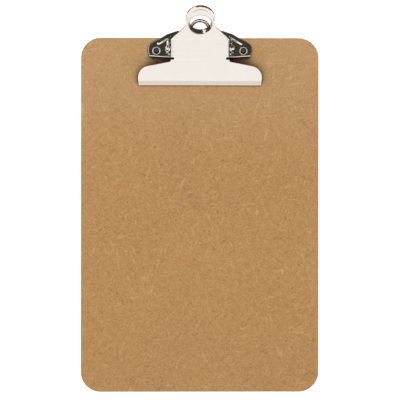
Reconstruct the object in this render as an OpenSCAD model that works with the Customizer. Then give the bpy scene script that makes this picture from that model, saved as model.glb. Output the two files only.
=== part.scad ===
// Memo clipboard: a hardboard panel with a riveted, spring-closed lever clip.
// Lies flat: origin at the centre of the panel's back face, +Z out of the
// writing face, +Y towards the clip. Lengths in millimetres.

/* [Board] */
// Width of the panel, side to side.
board_w = 152.4; // [110:0.1:320]
// Length of the panel, from the bottom edge to the clip edge.
board_l = 227; // [160:0.5:460]
// Thickness of the panel.
board_t = 3.2; // [3:0.1:4.5]
// Radius of the panel's four corners.
corner_r = 12.7; // [2:0.1:25]

/* [Base plate] */
// Full width of the riveted bracket.
base_w = 66; // [64:0.5:76]
// Sheet thickness of the bracket.
base_t = 1.0; // [0.8:0.05:1.1]
// Height of the upturned paper stop above the panel.
stop_h = 3.0; // [2.2:0.1:3.6]
// Radius of the hanging hole in the rear tongue.
hang_r = 4.7; // [3.5:0.1:5.2]
// Outer radius of the rear tongue.
tongue_r = 6.9; // [6.4:0.1:7.2]
// Distance of the hanging hole beyond the panel's edge.
tongue_y = 5.25; // [5:0.05:6.5]

/* [Rivets] */
// Distance between the two rivets.
rivet_span = 55.8; // [54:0.2:56]
// Distance of the rivets from the panel's clip edge.
rivet_in = 8.3; // [7.5:0.1:8.3]
// Outer radius of a rivet's shank.
rivet_r = 2.25; // [2.1:0.05:2.25]
// Wall thickness of the shank's hollow front end.
rivet_wall = 0.5; // [0.4:0.05:0.7]

/* [Pivot] */
// Radius of the pivot pin.
pin_r = 1.5; // [1.2:0.05:1.6]
// Distance of the pin's axis from the panel's clip edge.
pivot_in = 7.0; // [6.8:0.1:7.4]
// Height of the pin's axis above the panel.
pivot_h = 5.8; // [5.6:0.1:6]
// Radial play between the pin and the lever's holes.
pin_play = 0.06; // [0.03:0.01:0.1]

/* [Lever] */
// Sheet thickness of the lever.
lever_t = 0.9; // [0.7:0.05:1]
// Full width of the jaw where it meets the panel.
jaw_w = 78.8; // [70:0.2:90]
// Half width of the neck, over its side flanges.
neck_x = 18.7; // [18.5:0.05:18.8]
// Half width of the handle.
handle_x = 9; // [8.8:0.05:9.3]
// Slope of the handle at rest, in degrees.
handle_a = 44; // [38:1:48]
// Inner radius of the handle's collared hole.
eye_r = 7.3; // [5.5:0.1:7.6]
// Depth of the collar behind the handle.
collar_d = 3.6; // [1.5:0.1:4]
// Tube radius of the rolled rim round the handle's end.
roll_r = 1.4; // [1.1:0.05:1.5]

/* [Spring] */
// Radius of the spring wire.
wire_r = 0.6; // [0.45:0.05:0.65]
// Mean radius of the coil.
coil_r = 2.45; // [2.35:0.05:2.5]
// Number of full turns, before the last half turn.
coil_turns = 9; // [6:1:10]

/* [Hidden] */
$fn = 64;

over = 1;                        // how far cuts and overlaps run past a surface
reach = 60;                      // longer than the clip's parts, for cuts right through
rivet_hole_r = rivet_r + 0.05;
recess = 0.95;                   // depth of the pocket behind each rivet
ear_in = neck_x + 0.5;           // inner face of each ear
ear_out = ear_in + base_t;       // outer face of each ear
pivot = [-pivot_in, pivot_h];    // the pin's axis in side view (y, z)

// ---- helpers ----

// Where a line from a point touches a circle, on side 1 or -1.
function touch(point, centre, r, side) =
    let (d = point - centre, a = atan2(d[1], d[0]) + side * acos(r / norm(d)))
    centre + r * [cos(a), sin(a)];

// Rounded corner at a point: the two tangent points and the arc's centre.
function corner(before, point, after, r) =
    let (to_before = (before - point) / norm(before - point),
         to_after = (after - point) / norm(after - point),
         middle = to_before + to_after,
         half = acos(to_before * to_after) / 2,
         run = r / tan(half))
    [point + to_before * run, point + to_after * run, point + middle / norm(middle) * r / sin(half)];

// The clip's frame: the middle of the panel's clip edge, on the front face.
module at_clip() translate([0, board_l / 2, board_t]) children();

// The middle of the pin, from the panel's frame.
module at_pivot() at_clip() translate([0, -pivot_in, pivot_h]) children();

// The axis of the left (-1) or right (1) rivet, in the clip's frame.
module at_rivet(side) translate([side * rivet_span / 2, -rivet_in, 0]) children();

// Stands a side-view drawing (y, z) up and extrudes it along X from x0 to x1.
module extrude_across(x0, x1)
    translate([x0, 0, 0])
        rotate([90, 0, 90])
            linear_extrude(height = x1 - x0) children();

// Both halves of something drawn on the +X side.
module both() {
    children();
    mirror([1, 0, 0]) children();
}

module ring(outer, inner)
    difference() {
        circle(r = outer);
        circle(r = inner);
    }

// Cutter along the pin's axis, in the clip's frame.
module pin_bore(r)
    translate([-reach / 2, -pivot_in, pivot_h]) rotate([0, 90, 0]) cylinder(r = r, h = reach);

// ---- board ----

rivet_pocket_r = rivet_r + 1.05;

module rounded_rect(w, l, r) {
    square([w - 2 * r, l], center = true);
    square([w, l - 2 * r], center = true);
    for (x = [-1, 1], y = [-1, 1])
        translate([x * (w / 2 - r), y * (l / 2 - r)]) circle(r = r);
}

module board() color([0.66, 0.47, 0.30])
    difference() {
        linear_extrude(height = board_t) rounded_rect(board_w, board_l, corner_r);
        translate([0, board_l / 2, -over])
            for (side = [-1, 1]) at_rivet(side) {
                cylinder(r = rivet_hole_r, h = board_t + 2 * over);
                cylinder(r = rivet_pocket_r, h = recess + over);
            }
    }

// ---- base plate ----

stop_y = -13.3;                  // the paper stop's outer face, in the middle
stop_bow_r = 364;                // the stop bows towards the bottom edge
stop_half = base_w / 2 - 0.6;    // half width of the stop
stop_centre = [0, stop_y + stop_bow_r];
stop_bend = 0.3;                 // inside radius of the stop's bend
stop_bend_out = stop_bend + base_t;
stop_foot = 0.3;                 // flat strip before the bend, half of it in the sheet

// Right-hand shoulder (x, y), from the bracket's side to the tongue.
shoulder = [[base_w / 2, -4.9], [21.0, 2.4], [14.2, 4.6], [11.4, 3.6]];
side_r = 3;                      // rounding of the shoulder's first point
peak_r = 1.2;                    // rounding of its third point

// Fillet between the shoulder's end and the tongue.
fillet_r = 2.0;
fillet_y = shoulder[3][1] + fillet_r;
fillet_reach = tongue_r + fillet_r - 0.04;  // to the tongue's centre, overlapping a little
fillet = [sqrt(pow(fillet_reach, 2) - pow(fillet_y - tongue_y, 2)), fillet_y];

ear_bend = 1.3;                  // inside radius of the ears' bends
ear_bend_out = ear_bend + base_t;
ear_r = 3.2;                     // lobe of the ear round the pin
ear_touch_r = ear_r - 0.005;     // the ear's straight edges end just inside the lobe
ear_y0 = -pivot_in - 2.7;
ear_y1 = -pivot_in + 5.4;
ear_l = ear_y1 - ear_y0;
opening_x = 11.2;                // inner end of the opening beside each ear
opening_h = 4;

bead_r = 0.7;
bead_l = 8.2;
bead_start = [26.5, -3.5, base_t - 0.1];
bead_a = 149;                    // heading of the bead in plan

// Right half of the flat sheet, with round corners.
module plate_half() {
    low_y = stop_y - over;
    side_arc = corner([base_w / 2, low_y], shoulder[0], shoulder[1], side_r);
    peak_arc = corner(shoulder[1], shoulder[2], shoulder[3], peak_r);
    difference() {
        union() {
            intersection() {
                polygon([
                    [-over, low_y], [base_w / 2, low_y],
                    side_arc[0], side_arc[1], shoulder[1],
                    peak_arc[0], peak_arc[1], shoulder[3],
                    [fillet[0], shoulder[3][1]], [0, tongue_y], [-over, tongue_y]
                ]);
                translate(stop_centre)
                    circle(r = stop_bow_r - stop_bend_out - stop_foot / 2, $fn = 720);
            }
            translate(side_arc[2]) circle(r = side_r);
            translate(peak_arc[2]) circle(r = peak_r);
            polygon([[0, 0], [fillet[0], 0], fillet, [0, tongue_y]]);
        }
        translate(fillet) circle(r = fillet_r);
    }
}

// The upturned stop's section: distance from the bow's centre, height.
module stop_section() {
    bend_x = stop_bow_r - stop_bend_out;
    intersection() {
        translate([bend_x, stop_bend_out]) ring(stop_bend_out, stop_bend);
        translate([bend_x, -over]) square([stop_bend_out + over, stop_bend_out + over]);
    }
    translate([bend_x - stop_foot, 0]) square([stop_foot, base_t]);
    translate([stop_bow_r - base_t, stop_bend_out]) square([base_t, stop_h - stop_bend_out]);
}

module stop() {
    half_a = asin(stop_half / stop_bow_r);
    translate(stop_centre)
        rotate([0, 0, -90 - half_a])
            rotate_extrude(angle = 2 * half_a, $fn = 720) stop_section();
}

// An ear's outline in side view, down to the start of its bend.
module ear_face() {
    low = [ear_y0, ear_bend_out];
    high = [ear_y1, ear_bend_out];
    polygon([low, high, touch(high, pivot, ear_touch_r, 1), pivot, touch(low, pivot, ear_touch_r, -1)]);
    translate(pivot) circle(r = ear_r);
}

// The right-hand ear and the bend to the flat sheet outside it.
module ear() {
    extrude_across(ear_in, ear_out) ear_face();
    translate([ear_in + ear_bend_out, ear_y1, ear_bend_out])
        rotate([90, 0, 0])
            linear_extrude(height = ear_l)
                intersection() {
                    ring(ear_bend_out, ear_bend);
                    translate([-ear_bend_out, -ear_bend_out]) square([ear_bend_out, ear_bend_out]);
                }
}

// A round-ended rod of radius r along +Z, l long between its end centres.
module capsule(r, l)
    rotate_extrude() {
        square([r, l]);
        intersection() {
            circle(r = r);
            translate([0, -r]) square([r, r]);
        }
        intersection() {
            translate([0, l]) circle(r = r);
            translate([0, l]) square([r, r]);
        }
    }

// The sheet with its tongue and stiffening beads, and the openings that the
// ears were cut and folded from.
module flat_sheet()
    difference() {
        union() {
            linear_extrude(height = base_t) {
                both() plate_half();
                translate([0, tongue_y]) circle(r = tongue_r);
            }
            both() translate(bead_start) rotate([0, 90, bead_a]) capsule(bead_r, bead_l);
        }
        both()
            translate([opening_x, ear_y0, -over])
                cube([ear_in + ear_bend_out - opening_x, ear_l, opening_h]);
    }

module base_plate() color([0.62, 0.62, 0.60]) at_clip()
    difference() {
        union() {
            flat_sheet();
            stop();
            both() ear();
        }
        translate([0, tongue_y, -over]) cylinder(r = hang_r, h = base_t + 2 * over);
        pin_bore(pin_r + 0.02);
        for (side = [-1, 1])
            at_rivet(side)
                translate([0, 0, -over]) cylinder(r = rivet_hole_r, h = base_t + 2 * over);
    }

// ---- clamp lever ----

// Side view of the outer surface, from the jaw's edge towards the handle:
// a lip, the jaw, the level neck and the sloping handle.
rest_gap = 0.05;                 // air between the jaw's edge and the panel
lip_a = 42;
lip_l = 3.9;
lip_bend = 2.5;
jaw_a = 29;
neck_roll = 6;
heel_bend = 3.5;
tip_y = -30.6;
tip_z = rest_gap + lever_t * cos(lip_a);
neck_z = 10.2;
lip_rise = lip_l * sin(lip_a) + lip_bend * (cos(jaw_a) - cos(lip_a));
lip_run = lip_l * cos(lip_a) + lip_bend * (sin(lip_a) - sin(jaw_a));
jaw_l = (neck_z - tip_z - lip_rise - neck_roll * (1 - cos(jaw_a))) / sin(jaw_a);
neck_y0 = tip_y + lip_run + jaw_l * cos(jaw_a) + neck_roll * sin(jaw_a);
heel_y = -0.7;                   // where the neck's plane and the handle's plane meet
heel_run = heel_bend * tan(handle_a / 2);
eye_v = 10;                      // from that line up the slope to the middle of the hole
end_v = 5.9;                     // from there to the middle of the handle's round end

// Plan of the right half.
jaw_flare = 0.55;                // how much wider the jaw is at its corner
jaw_corner_y = -20.0;
jaw_corner_r = 7.5;
jaw_root_y = -15.9;              // where the jaw meets the neck's side
notch_r = 0.7;                   // round end of the notch between jaw and flange
notch_d = 1.5;
heel_inset = 0.6;
waist_r = 6.5;                   // hollow curve between the neck and the handle
waist = [handle_x + waist_r, 9.1];
plan_y1 = 30;                    // beyond the handle's end

// Flanges.
flange_y0 = -13.2;
flange_y1 = heel_y - heel_run;
flange_drop0 = 2.6;              // depth of the flange's side edge at flange_y0
flange_drop1 = 1.8;              // and at flange_y1
lobe_r = 4.0;                    // lobe of the flange round the pin
neck_bend = 1.6;                 // outside radius between the neck and a flange

// Handle's end.
trim = [40, 20, 8];              // block that rounds off the handle's end
rim_rise = 0.15;                 // top of the rolled rim above the handle
rim_overlap = 0.6;               // sheet running into the rim

// Stations [point, heading] along a bent line. Each step is [length, 0, 0] for
// a straight or [0, radius, degrees] for a bend; positive degrees bend upwards.
function walk(steps, point, a, i = 0) =
    i >= len(steps) ? [[point, a]] :
    steps[i][0] > 0 ?
        concat([[point, a]], walk(steps, point + steps[i][0] * [cos(a), sin(a)], a, i + 1)) :
    let (r = steps[i][1], bend = steps[i][2], up = sign(bend),
         centre = point + up * r * [-sin(a), cos(a)],
         parts = ceil(abs(bend) / 5))
    concat(
        [for (k = [0 : parts - 1])
            let (q = a + bend * k / parts) [centre + up * r * [sin(q), -cos(q)], q]],
        walk(steps, centre + up * r * [sin(a + bend), -cos(a + bend)], a + bend, i + 1));

// The sheet in side view: the bent line, and the same line set back by the
// sheet's thickness.
module lever_side() {
    stations = walk([
        [lip_l, 0, 0],
        [0, lip_bend, jaw_a - lip_a],
        [jaw_l, 0, 0],
        [0, neck_roll, -jaw_a],
        [flange_y1 - neck_y0, 0, 0],
        [0, heel_bend, handle_a],
        [eye_v + end_v + handle_x - heel_run, 0, 0]
    ], [tip_y, tip_z], lip_a);
    polygon(concat(
        [for (s = stations) s[0]],
        [for (i = [len(stations) - 1 : -1 : 0])
            let (a = stations[i][1]) stations[i][0] + lever_t * [sin(a), -cos(a)]]));
}

// Right half of the lever in plan, without the flange.
module lever_plan() {
    jaw_tip = [jaw_w / 2, tip_y - over];
    jaw_root = [neck_x, jaw_root_y];
    jaw_arc = corner(jaw_tip, [jaw_w / 2 + jaw_flare, jaw_corner_y], jaw_root, jaw_corner_r);
    notch_x = neck_x - notch_d;
    bend_x = neck_x - neck_bend;
    heel = [neck_x - heel_inset, flange_y1];
    difference() {
        union() {
            polygon([
                [-over, tip_y - over], jaw_tip, jaw_arc[0], jaw_arc[1], jaw_root,
                [neck_x, flange_y0 - 2 * notch_r], [notch_x, flange_y0 - 2 * notch_r],
                [notch_x, flange_y0], [bend_x, flange_y0], [bend_x, flange_y1],
                heel, touch(heel, waist, waist_r, -1), waist,
                [handle_x, waist[1]], [handle_x, plan_y1], [-over, plan_y1]
            ]);
            translate(jaw_arc[2]) circle(r = jaw_corner_r);
        }
        translate(waist) circle(r = waist_r);
        translate([notch_x, flange_y0 - notch_r]) circle(r = notch_r);
    }
}

// A flange's outline in side view.
module flange_face() {
    low = [flange_y0, neck_z - flange_drop0];
    high = [flange_y1, neck_z - flange_drop1];
    polygon([
        [flange_y0, neck_z + over], low, touch(low, pivot, lobe_r, 1), pivot,
        touch(high, pivot, lobe_r, -1), high, [flange_y1, neck_z + over]
    ]);
    translate(pivot) circle(r = lobe_r);
}

// Section (x, z) of the right-hand flange and the bend that joins it to the neck.
module flange_section() {
    translate([neck_x - lever_t, 0]) square([lever_t, neck_z - neck_bend]);
    translate([neck_x - neck_bend - over, neck_z - lever_t]) square([over, lever_t]);
    translate([neck_x - neck_bend, neck_z - neck_bend])
        intersection() {
            ring(neck_bend, neck_bend - lever_t);
            square([neck_bend, neck_bend]);
        }
}

module flange()
    intersection() {
        translate([0, flange_y1, 0])
            rotate([90, 0, 0])
                linear_extrude(height = flange_y1 - flange_y0) flange_section();
        extrude_across(0, neck_x + over) flange_face();
    }

// The handle's frame: the middle of the hole, upper surface, +Y up the slope.
module on_handle()
    translate([0, heel_y + eye_v * cos(handle_a), neck_z + eye_v * sin(handle_a)])
        rotate([handle_a, 0, 0]) children();

// What is cut away round the handle's end.
module end_trim()
    difference() {
        translate([-trim[0] / 2, 0, -trim[2] / 2]) cube(trim);
        translate([0, 0, -trim[2] / 2 - over])
            cylinder(r = handle_x - roll_r + rim_overlap, h = trim[2] + 2 * over);
    }

module bent_sheet()
    difference() {
        intersection() {
            extrude_across(-reach, reach) lever_side();
            linear_extrude(height = reach) both() lever_plan();
        }
        on_handle() translate([0, end_v, 0]) end_trim();
    }

module rolled_rim()
    translate([0, end_v, rim_rise - roll_r])
        rotate_extrude(angle = 180) translate([handle_x - roll_r, 0]) circle(r = roll_r);

module clamp_lever() color([0.80, 0.80, 0.78]) at_clip() {
    collar_z = -lever_t - collar_d;
    difference() {
        union() {
            bent_sheet();
            both() flange();
            on_handle() {
                rolled_rim();
                translate([0, 0, collar_z])
                    cylinder(r = eye_r + lever_t, h = lever_t / 2 + collar_d);
            }
        }
        on_handle()
            translate([0, 0, collar_z - over])
                cylinder(r = eye_r, h = collar_d + lever_t + 2 * over);
        pin_bore(pin_r + pin_play);
    }
}

// ---- pivot pin ----

pin_head_r = pin_r + 0.45;
pin_head_h = 0.9;                // straight part of the head, below its dome
dome_drop = 1.1;                 // from the dome's foot down to its sphere's centre
dome_room = 4;                   // more than the dome's height

module pin_head() {
    translate([0, 0, ear_out]) cylinder(r = pin_head_r, h = pin_head_h);
    translate([0, 0, ear_out + pin_head_h])
        intersection() {
            translate([0, 0, -dome_drop]) sphere(r = norm([pin_head_r, dome_drop]));
            cylinder(r = pin_head_r, h = dome_room);
        }
}

module pivot_pin() color([0.74, 0.74, 0.72]) at_pivot() {
    rotate([0, 90, 0]) cylinder(r = pin_r, h = 2 * ear_out, center = true);
    both() rotate([0, 90, 0]) pin_head();
}

// ---- torsion spring ----

// The wire's middle line: a leg on the base plate, the coil, a leg under the
// lever's neck. Points on the coil are found from the angle t in turns.
coil_pitch = 2 * wire_r + 0.16;
coil_n = coil_turns + 0.5;
coil_x0 = -coil_pitch * coil_n / 2;
coil_steps = 20;                 // points per turn
base_leg_l = 8.2;
base_leg_gap = 0.05;             // air between the leg's end and the base plate
base_leg_a = asin((pivot_h - coil_r - base_t - wire_r - base_leg_gap) / base_leg_l);
neck_leg_l = 6.3;
neck_leg_a = 4;
t0 = base_leg_a / 360;
t1 = coil_n - neck_leg_a / 360;

// Seen from +X the wire runs clockwise from the bottom of the coil.
function coil_point(t) =
    [coil_x0 + coil_pitch * t, -coil_r * sin(360 * t), -coil_r * cos(360 * t)];
function coil_dir(t) = [0, -cos(360 * t), sin(360 * t)];

coil_parts = ceil((t1 - t0) * coil_steps);
wire_path = concat(
    [coil_point(t0) - base_leg_l * coil_dir(t0)],
    [for (k = [0 : coil_parts]) coil_point(t0 + (t1 - t0) * k / coil_parts)],
    [coil_point(t1) + neck_leg_l * coil_dir(t1)]);

// A tube of radius r along the path, with m sides, as one closed solid.
module tube(path, r, m = 12) {
    n = len(path);
    dirs = [for (i = [0 : n - 1])
        let (d = path[min(i + 1, n - 1)] - path[max(i - 1, 0)]) d / norm(d)];
    // two directions square to the wire; the coil's axis never lies along it
    across = [for (d = dirs) let (q = cross(d, [1, 0, 0])) q / norm(q)];
    along = [for (i = [0 : n - 1]) cross(dirs[i], across[i])];
    points = [for (i = [0 : n - 1], k = [0 : m - 1])
        let (a = 360 * k / m) path[i] + r * (across[i] * cos(a) + along[i] * sin(a))];
    polyhedron(points = points, faces = concat(
        [[for (k = [0 : m - 1]) k]],
        [for (i = [0 : n - 2], k = [0 : m - 1])
            let (next = (k + 1) % m) each [
                [i * m + k, (i + 1) * m + k, (i + 1) * m + next],
                [i * m + k, (i + 1) * m + next, i * m + next]
            ]],
        [[for (k = [m - 1 : -1 : 0]) (n - 1) * m + k]]));
}

module torsion_spring() color([0.5, 0.5, 0.5]) at_pivot() tube(wire_path, wire_r);

// ---- rivets ----

rivet_head_r = rivet_r + 0.6;
rivet_head_h = 0.8;
rivet_solid_h = 1;               // solid part of the shank above the head
rivet_overlap = 0.1;             // of the shank into the head
rivet_roll_r = 0.35;             // roll of the front end
roll_box = 3;                    // larger than the roll

// The shank's front end is hollow and rolled over the bracket; a flat head
// closes it in the pocket behind the panel.
module rivet() {
    head_z = recess - board_t;
    bore_r = rivet_r - rivet_wall;
    rotate_extrude() {
        translate([0, head_z - rivet_head_h]) square([rivet_head_r, rivet_head_h]);
        translate([0, head_z - rivet_overlap]) square([rivet_r, rivet_solid_h + rivet_overlap]);
        translate([bore_r, head_z]) square([rivet_wall, base_t - head_z]);
        intersection() {
            translate([rivet_r, base_t]) circle(r = rivet_roll_r);
            translate([bore_r, base_t]) square([roll_box, roll_box]);
        }
    }
}

module rivet_left() color([0.78, 0.78, 0.76]) at_clip() at_rivet(-1) rivet();
module rivet_right() color([0.78, 0.78, 0.76]) at_clip() at_rivet(1) rivet();

board();
base_plate();
clamp_lever();
pivot_pin();
torsion_spring();
rivet_left();
rivet_right();
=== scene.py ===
"""A clipboard lying flat: a pressed hardboard panel with a nickel-plated spring clip.

The board is centred on the origin with its back on z = 0, its length along Y and the clip at
the +Y end. Parts are sized in mm. The clip has its own frame: x across, y = 0 on the board's
+Y edge, z = 0 on the board's top face; its jaw lies towards -Y and its handle towards +Y.
Sheet parts are drawn flat, meshed, and then bent by a map from flat points to the clip frame.
The studio, shader positions and camera are in metres.
"""
import math
import bpy
import numpy as np
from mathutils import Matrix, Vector, geometry


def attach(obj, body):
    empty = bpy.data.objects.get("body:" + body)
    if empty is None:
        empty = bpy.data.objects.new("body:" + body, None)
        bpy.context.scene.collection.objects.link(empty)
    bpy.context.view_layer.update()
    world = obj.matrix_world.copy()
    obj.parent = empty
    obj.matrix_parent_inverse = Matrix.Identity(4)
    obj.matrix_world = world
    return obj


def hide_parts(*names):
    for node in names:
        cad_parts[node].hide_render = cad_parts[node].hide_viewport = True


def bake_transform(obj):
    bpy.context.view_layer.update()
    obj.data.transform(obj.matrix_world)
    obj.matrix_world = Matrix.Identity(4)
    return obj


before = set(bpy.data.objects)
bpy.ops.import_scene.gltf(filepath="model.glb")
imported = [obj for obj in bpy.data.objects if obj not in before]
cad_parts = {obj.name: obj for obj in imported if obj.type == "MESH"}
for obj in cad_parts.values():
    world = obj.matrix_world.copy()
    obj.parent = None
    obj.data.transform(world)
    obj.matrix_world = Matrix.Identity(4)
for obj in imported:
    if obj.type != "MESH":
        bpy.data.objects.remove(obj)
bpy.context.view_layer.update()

scene = bpy.context.scene

# ---------------------------------------------------------------- shared sizes, mm
BOARD_W, BOARD_L, BOARD_T, CORNER_R = 152.4, 227.0, 3.2, 12.7
TOP_Y = BOARD_L / 2                  # the clip frame's zero
PIVOT = PIVOT_Y, PIVOT_Z = -7.0, 5.8
PIN_R = 1.5
BASE_T, LEVER_T = 1.0, 0.9           # sheet thicknesses
NECK_X, NECK_Z, NECK_R = 18.7, 10.2, 1.6     # lever neck: half width, top, side bend radius
EAR_OUT = NECK_X + 0.5 + BASE_T      # outer face of the base plate's ears
RIVET_X, RIVET_Y, RIVET_HOLE_R = 27.9, -8.3, 2.3
POCKET_R, POCKET_D = 3.3, 0.95       # pocket behind each rivet, in the board's back
HOLE_SIDES = 32                      # segments of the board's holes

# meshing of bent sheet
PITCH, MARGIN = 0.85, 0.2            # lattice pitch, clear strip along the edges
CELL = 0.12                          # at most one placed point in a cell of this size
ROUND_STEPS = 4                      # segments of each rounded edge


# ---------------------------------------------------------------- plane geometry
def rise(value, start, length):
    """A smooth step from 0 at start to 1 at start + length."""
    t = np.clip((value - start) / length, 0, 1)
    return t * t * (3 - 2 * t)


def arc(centre, radius, start, end, count):
    """count + 1 points of an arc, angles in degrees."""
    angles = [math.radians(start + (end - start) * k / count) for k in range(count + 1)]
    return [(centre[0] + radius * math.cos(a), centre[1] + radius * math.sin(a)) for a in angles]


def circle(centre, radius, count):
    return arc(centre, radius, 0, 360, count)[:-1]


def corner(before, at, after, radius, count=8):
    """Points of a rounded corner at the middle one of three points."""
    before, at, after = (np.array(p, float) for p in (before, at, after))
    back = (before - at) / np.linalg.norm(before - at)
    ahead = (after - at) / np.linalg.norm(after - at)
    half_angle = math.acos(back @ ahead) / 2
    middle = (back + ahead) / np.linalg.norm(back + ahead)
    centre = at + middle * radius / math.sin(half_angle)
    first = at + back * radius / math.tan(half_angle)
    last = at + ahead * radius / math.tan(half_angle)
    start, end = math.atan2(*(first - centre)[::-1]), math.atan2(*(last - centre)[::-1])
    while end - start > math.pi:
        end -= 2 * math.pi
    while end - start < -math.pi:
        end += 2 * math.pi
    angles = [start + (end - start) * k / count for k in range(count + 1)]
    return [tuple(centre + radius * np.array([math.cos(a), math.sin(a)])) for a in angles]


def touch_angle(point, centre, radius, side):
    """Where a tangent from point touches the circle, in degrees; side is 1 or -1."""
    dx, dy = point[0] - centre[0], point[1] - centre[1]
    spread = math.acos(radius / math.hypot(dx, dy))
    return math.degrees(math.atan2(dy, dx) + side * spread) % 360


def pair(x, y):
    """A point and its mirror image across x = 0."""
    return [(x, y), (-x, y)]


def mirrored(half, top):
    """A closed outline from its +x half and the y of its point on the centre line."""
    return half + [(0, top)] + [(-x, y) for x, y in half[::-1]]


def resample(loop, step):
    """A closed loop with its corners kept and long edges cut to about step."""
    out = []
    for i, p in enumerate(loop):
        q = loop[(i + 1) % len(loop)]
        length = math.hypot(q[0] - p[0], q[1] - p[1])
        if length < 1e-4:
            continue
        n = max(1, int(round(length / step)))
        out += [(p[0] + (q[0] - p[0]) * k / n, p[1] + (q[1] - p[1]) * k / n) for k in range(n)]
    return out


def inside(points, loops):
    """Even-odd test of many points against closed loops."""
    hit = np.zeros(len(points), bool)
    for loop in loops:
        starts = np.asarray(loop, float)
        for (x1, y1), (x2, y2) in zip(starts, np.roll(starts, -1, axis=0)):
            if y1 == y2:
                continue
            spans = (y1 > points[:, 1]) != (y2 > points[:, 1])
            x = (x2 - x1) * (points[:, 1] - y1) / (y2 - y1) + x1
            hit ^= spans & (points[:, 0] < x)
    return hit


def near(points, others, distance):
    """Which points lie within distance of any of the others, 2000 at a time to save memory."""
    out = np.zeros(len(points), bool)
    for i in range(0, len(points), 2000):
        gap = points[i:i + 2000][:, None, :] - others[None]
        out[i:i + 2000] = ((gap ** 2).sum(-1) < distance * distance).any(1)
    return out


def nearest(points, loop):
    """The index of the point nearest to each point of the loop."""
    return [int(((points - np.array(p)) ** 2).sum(1).argmin()) for p in loop]


# ---------------------------------------------------------------- meshing
def fill(loops, placed, pitch, step, margin):
    """Triangles between closed loops, through the placed points first, then a lattice."""
    loops = [resample(loop, step) for loop in loops]
    edge = np.array([p for loop in loops for p in loop])

    placed = np.reshape(placed, (-1, 2))
    placed = placed[inside(placed, loops)]
    placed = placed[~near(placed, edge, margin)]
    cells = {}
    for p in placed:
        cells.setdefault((round(p[0] / CELL), round(p[1] / CELL)), p)
    placed = np.reshape(list(cells.values()), (-1, 2))

    low, high = edge.min(0), edge.max(0)
    xs = np.arange(low[0], high[0] + pitch, pitch)
    ys = np.arange(low[1], high[1] + pitch, pitch * 0.866)
    lattice = np.array([(x + (pitch / 2 if row % 2 else 0), y)
                        for row, y in enumerate(ys) for x in xs])
    lattice = lattice[inside(lattice, loops)]
    lattice = lattice[~near(lattice, edge, max(margin, 0.55 * pitch))]
    lattice = lattice[~near(lattice, placed, 0.75 * pitch)]

    edges, first = [], 0
    for loop in loops:
        n = len(loop)
        edges += [(first + i, first + (i + 1) % n) for i in range(n)]
        first += n
    points = [Vector(p) for p in np.vstack([edge, placed, lattice])]
    v, _, f, *_ = geometry.delaunay_2d_cdt(points, edges, [], 0, 1e-5)
    v = np.array([(p.x, p.y) for p in v])
    f = np.array([t for t in f if len(t) == 3])
    f = f[inside(v[f].mean(1), loops)]
    a, b, c = v[f[:, 0]], v[f[:, 1]], v[f[:, 2]]
    area = (b[:, 0] - a[:, 0]) * (c[:, 1] - a[:, 1]) - (b[:, 1] - a[:, 1]) * (c[:, 0] - a[:, 0])
    f[area < 0] = f[area < 0][:, ::-1]
    used, renumbered = np.unique(f, return_inverse=True)
    return v[used], renumbered.reshape(-1, 3)


def skin(rings, flip=False):
    """Faces between each closed ring of vertex numbers and the next; repeats collapse."""
    faces = []
    for a, b in zip(rings, rings[1:]):
        for a0, a1, b0, b1 in zip(a, a[1:] + a[:1], b, b[1:] + b[:1]):
            quad = tuple(dict.fromkeys((a1, a0, b0, b1) if flip else (a0, a1, b1, b0)))
            if len(quad) > 2:
                faces.append(quad)
    return faces


def make(name, verts, faces, at=(0, TOP_Y, BOARD_T)):
    """A smooth-shaded mesh object from points in mm, in the clip frame unless at says not."""
    v = (np.asarray(verts, float) + np.array(at)) * 0.001
    mesh = bpy.data.meshes.new(name)
    mesh.from_pydata([tuple(p) for p in v], [], [tuple(int(i) for i in f) for f in faces])
    mesh.validate()
    mesh.update()
    mesh.polygons.foreach_set("use_smooth", [True] * len(mesh.polygons))
    obj = bpy.data.objects.new(name, mesh)
    scene.collection.objects.link(obj)
    return obj


def weight_normals(obj, weight):
    modifier = obj.modifiers.new("normals", "WEIGHTED_NORMAL")
    modifier.weight = weight
    return modifier


def inset(loop, radius, is_hole):
    """The loop moved into the sheet by up to radius, less where that would fold an edge over."""
    p = np.asarray(loop, float)
    after, before = np.roll(p, -1, axis=0), np.roll(p, 1, axis=0)
    area = 0.5 * float(np.sum(p[:, 0] * after[:, 1] - after[:, 0] * p[:, 1]))
    sign = (1 if area > 0 else -1) * (-1 if is_hole else 1)

    def normals(edge):
        across = np.stack([-edge[:, 1], edge[:, 0]], 1)
        return across / np.linalg.norm(edge, axis=1)[:, None] * sign

    edge = after - p
    ahead = normals(edge)
    move = normals(p - before) + ahead
    move /= np.maximum(np.linalg.norm(move, axis=1), 1e-6)[:, None]
    move /= np.maximum((move * ahead).sum(1), 0.6)[:, None]
    amount = np.full(len(p), float(radius))
    for _ in range(8):
        moved = p + move * amount[:, None]
        new_edge = np.roll(moved, -1, axis=0) - moved
        folded = (new_edge * edge).sum(1) < 0.12 * (edge * edge).sum(1)
        if not folded.any():
            break
        amount[folded] *= 0.6
        amount[np.roll(folded, 1)] *= 0.6
    return p + move * amount[:, None], amount


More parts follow.
